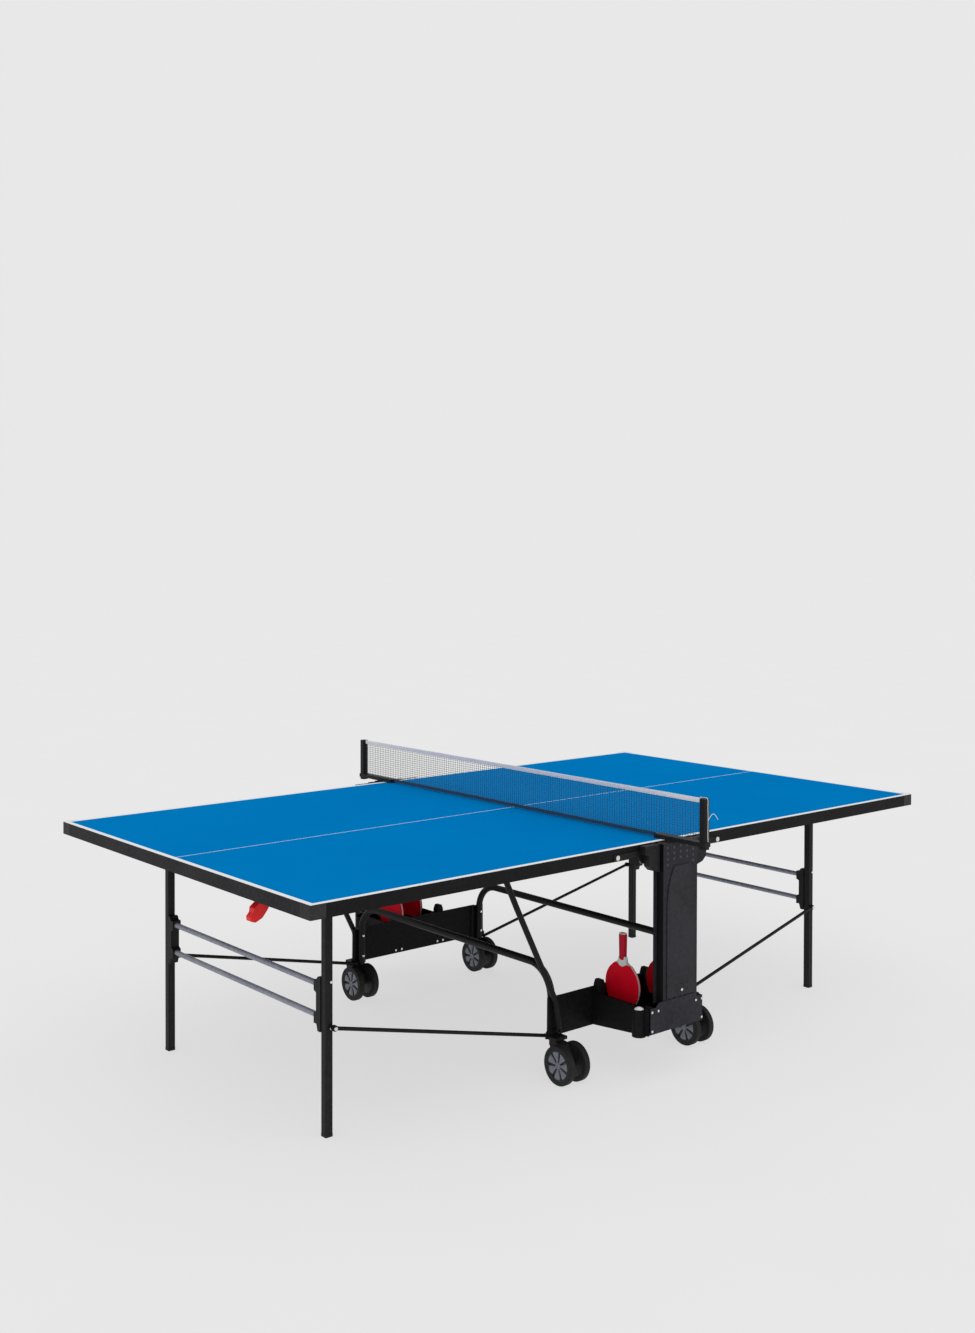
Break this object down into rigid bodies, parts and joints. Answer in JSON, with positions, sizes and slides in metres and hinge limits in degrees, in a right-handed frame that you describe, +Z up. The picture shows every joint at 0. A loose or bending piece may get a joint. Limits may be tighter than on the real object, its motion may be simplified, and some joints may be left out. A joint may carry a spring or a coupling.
{
  "type": "ping pong table",
  "caption": "Folding ping pong table: two hinged blue half tops on a wheeled centre trolley, with folding legs, stays, net, bat racks and ball cups.",
  "frame": {"origin": "on the floor, midway along and across the table, under the net", "axes": "+X along the table's length, +Y across its width away from the cord side of the net, +Z up"},
  "size_m": [2.74, 1.872, 0.9164],
  "materials": {
    "table_top": "matt lacquer with white court lines",
    "apron": "satin powder coat",
    "frame_black": "satin powder coat",
    "tower_paint": "satin powder coat",
    "tower_plastic": "fine grained",
    "tray_plastic": "fine grained",
    "moulded_black": "fine grained",
    "grey_tube": "satin grey",
    "zinc": "zinc plated",
    "lever_red": "satin moulded",
    "hub_grey": "satin moulded",
    "tyre": "matt rubber",
    "bat_red": "fine pimpled rubber, red grip",
    "ball_white": "satin celluloid",
    "net_fabric": "open mesh",
    "tape_fabric": "woven tape",
    "cord_fabric": "braided"
  },
  "bodies": {
    "trolley": {"left_u_frame": "frame_black", "right_u_frame": "frame_black", "side_panels": "frame_black", "base_brackets": "frame_black", "near_tray": "tray_plastic", "far_tray": "tray_plastic", "front_plates": "tower_paint", "towers": "tower_paint", "tower_covers": "tower_plastic", "trolley_bolts": "zinc", "net_posts": "moulded_black", "net_mesh": "net_fabric", "net_tape": "tape_fabric", "net_cord": "cord_fabric"},
    "left_half": {"left_board": "table_top", "left_rails": "apron", "left_corner_caps": "moulded_black", "left_cross_bars": "frame_black", "left_leg_hinges": "zinc", "left_stay_guides": "frame_black"},
    "left_carriage": {"left_hinge_straps": "frame_black", "left_guide_blocks": "moulded_black"},
    "left_leg_set": {"left_legs": "frame_black", "left_feet": "moulded_black", "left_cross_tubes": "grey_tube", "left_tube_brackets": "moulded_black"},
    "left_stay_pair": {"left_stays": "frame_black"},
    "left_rod_pair": {"left_brace_rods": "frame_black"},
    "left_lever": {"left_safety_lever": "lever_red"},
    "right_half": {"right_board": "table_top", "right_rails": "apron", "right_corner_caps": "moulded_black", "right_cross_bars": "frame_black", "right_leg_hinges": "zinc"},
    "right_carriage": {"right_hinge_straps": "frame_black", "right_guide_blocks": "moulded_black"},
    "right_leg_set": {"right_legs": "frame_black", "right_feet": "moulded_black", "right_cross_tubes": "grey_tube", "right_tube_brackets": "moulded_black"},
    "right_rod_pair": {"right_brace_rods": "frame_black"},
    "right_lever": {"right_safety_lever": "lever_red"},
    "near_left_swivel": {"near_left_fork": "moulded_black"},
    "near_left_wheels": {"near_left_hubs": "hub_grey", "near_left_tyres": "tyre"},
    "far_left_swivel": {"far_left_fork": "moulded_black"},
    "far_left_wheels": {"far_left_hubs": "hub_grey", "far_left_tyres": "tyre"},
    "near_right_swivel": {"near_right_fork": "moulded_black"},
    "near_right_wheels": {"near_right_hubs": "hub_grey", "near_right_tyres": "tyre"},
    "far_right_swivel": {"far_right_fork": "moulded_black"},
    "far_right_wheels": {"far_right_hubs": "hub_grey", "far_right_tyres": "tyre"},
    "bat_1_stored": {"bat_1": "bat_red"},
    "bat_2_stored": {"bat_2": "bat_red"},
    "bat_3_stored": {"bat_3": "bat_red"},
    "bat_4_stored": {"bat_4": "bat_red"},
    "ball_stored": {"spare_ball": "ball_white"}
  },
  "joints": [
    {"name": "left_carriage_slide", "type": "slide", "parent": "trolley", "child": "left_carriage", "axis": [0, 0, -1], "range_m": [0, 0.23]},
    {"name": "left_fold", "type": "hinge", "parent": "left_carriage", "child": "left_half", "pos_m": [-0.235, 0, 0.732], "axis": [0, 1, 0], "range_deg": [0, 90]},
    {"name": "left_leg_fold", "type": "hinge", "parent": "left_half", "child": "left_leg_set", "pos_m": [-1.12, 0, 0.705], "axis": [0, -1, 0], "range_deg": [0, 85]},
    {"name": "left_stay_swing", "type": "hinge", "parent": "trolley", "child": "left_stay_pair", "pos_m": [-0.288, 0, 0.152], "axis": [0, 1, 0], "range_deg": [0, 24.66]},
    {"name": "left_rod_swing", "type": "hinge", "parent": "trolley", "child": "left_rod_pair", "pos_m": [-0.314, 0, 0.132], "axis": [0, 1, 0], "range_deg": [0, 78.5]},
    {"name": "left_lever_pull", "type": "hinge", "parent": "left_half", "child": "left_lever", "pos_m": [-1.275, -0.4, 0.704], "axis": [0, -1, 0], "range_deg": [0, 18], "stiffness_Nm_per_rad": 0.6, "springref_deg": -22.92},
    {"name": "right_carriage_slide", "type": "slide", "parent": "trolley", "child": "right_carriage", "axis": [0, 0, -1], "range_m": [0, 0.23]},
    {"name": "right_fold", "type": "hinge", "parent": "right_carriage", "child": "right_half", "pos_m": [0.235, 0, 0.732], "axis": [0, -1, 0], "range_deg": [0, 90]},
    {"name": "right_leg_fold", "type": "hinge", "parent": "right_half", "child": "right_leg_set", "pos_m": [1.12, 0, 0.705], "axis": [0, 1, 0], "range_deg": [0, 85]},
    {"name": "right_rod_swing", "type": "hinge", "parent": "trolley", "child": "right_rod_pair", "pos_m": [0.314, 0, 0.132], "axis": [0, -1, 0], "range_deg": [0, 78.5]},
    {"name": "right_lever_pull", "type": "hinge", "parent": "right_half", "child": "right_lever", "pos_m": [1.275, 0.4, 0.704], "axis": [0, 1, 0], "range_deg": [0, 18], "stiffness_Nm_per_rad": 0.6, "springref_deg": -22.92},
    {"name": "near_left_swivel_turn", "type": "hinge", "parent": "trolley", "child": "near_left_swivel", "pos_m": [-0.3, -0.565, 0.13], "axis": [0, 0, 1], "continuous": true},
    {"name": "near_left_roll", "type": "hinge", "parent": "near_left_swivel", "child": "near_left_wheels", "pos_m": [-0.3, -0.61, 0.0625], "axis": [1, 0, 0], "continuous": true},
    {"name": "far_left_swivel_turn", "type": "hinge", "parent": "trolley", "child": "far_left_swivel", "pos_m": [-0.3, 0.565, 0.13], "axis": [0, 0, 1], "continuous": true},
    {"name": "far_left_roll", "type": "hinge", "parent": "far_left_swivel", "child": "far_left_wheels", "pos_m": [-0.3, 0.52, 0.0625], "axis": [1, 0, 0], "continuous": true},
    {"name": "near_right_swivel_turn", "type": "hinge", "parent": "trolley", "child": "near_right_swivel", "pos_m": [0.29, -0.565, 0.13], "axis": [0, 0, 1], "continuous": true},
    {"name": "near_right_roll", "type": "hinge", "parent": "near_right_swivel", "child": "near_right_wheels", "pos_m": [0.29, -0.61, 0.0625], "axis": [1, 0, 0], "continuous": true},
    {"name": "far_right_swivel_turn", "type": "hinge", "parent": "trolley", "child": "far_right_swivel", "pos_m": [0.29, 0.565, 0.13], "axis": [0, 0, 1], "continuous": true},
    {"name": "far_right_roll", "type": "hinge", "parent": "far_right_swivel", "child": "far_right_wheels", "pos_m": [0.29, 0.52, 0.0625], "axis": [1, 0, 0], "continuous": true},
    {"name": "bat_1_lift", "type": "slide", "parent": "trolley", "child": "bat_1_stored", "axis": [0, 0, 1], "range_m": [0, 0.12]},
    {"name": "bat_2_lift", "type": "slide", "parent": "trolley", "child": "bat_2_stored", "axis": [0, 0, 1], "range_m": [0, 0.12]},
    {"name": "bat_3_lift", "type": "slide", "parent": "trolley", "child": "bat_3_stored", "axis": [0, 0, 1], "range_m": [0, 0.12]},
    {"name": "bat_4_lift", "type": "slide", "parent": "trolley", "child": "bat_4_stored", "axis": [0, 0, 1], "range_m": [0, 0.12]},
    {"name": "ball_lift", "type": "slide", "parent": "trolley", "child": "ball_stored", "axis": [0, 0, 1], "range_m": [0, 0.08]}
  ],
  "couplings": [
    {"joint": "left_carriage_slide", "follows": "left_fold", "m_per_rad": 0.14642},
    {"joint": "left_leg_fold", "follows": "left_fold", "ratio": 0.94444},
    {"joint": "left_rod_swing", "follows": "left_fold", "ratio": 0.87205},
    {"joint": "left_stay_swing", "follows": "left_fold", "ratio": 0.2739},
    {"joint": "right_carriage_slide", "follows": "right_fold", "m_per_rad": 0.14642},
    {"joint": "right_leg_fold", "follows": "right_fold", "ratio": 0.94444},
    {"joint": "right_rod_swing", "follows": "right_fold", "ratio": 0.87205}
  ]
}
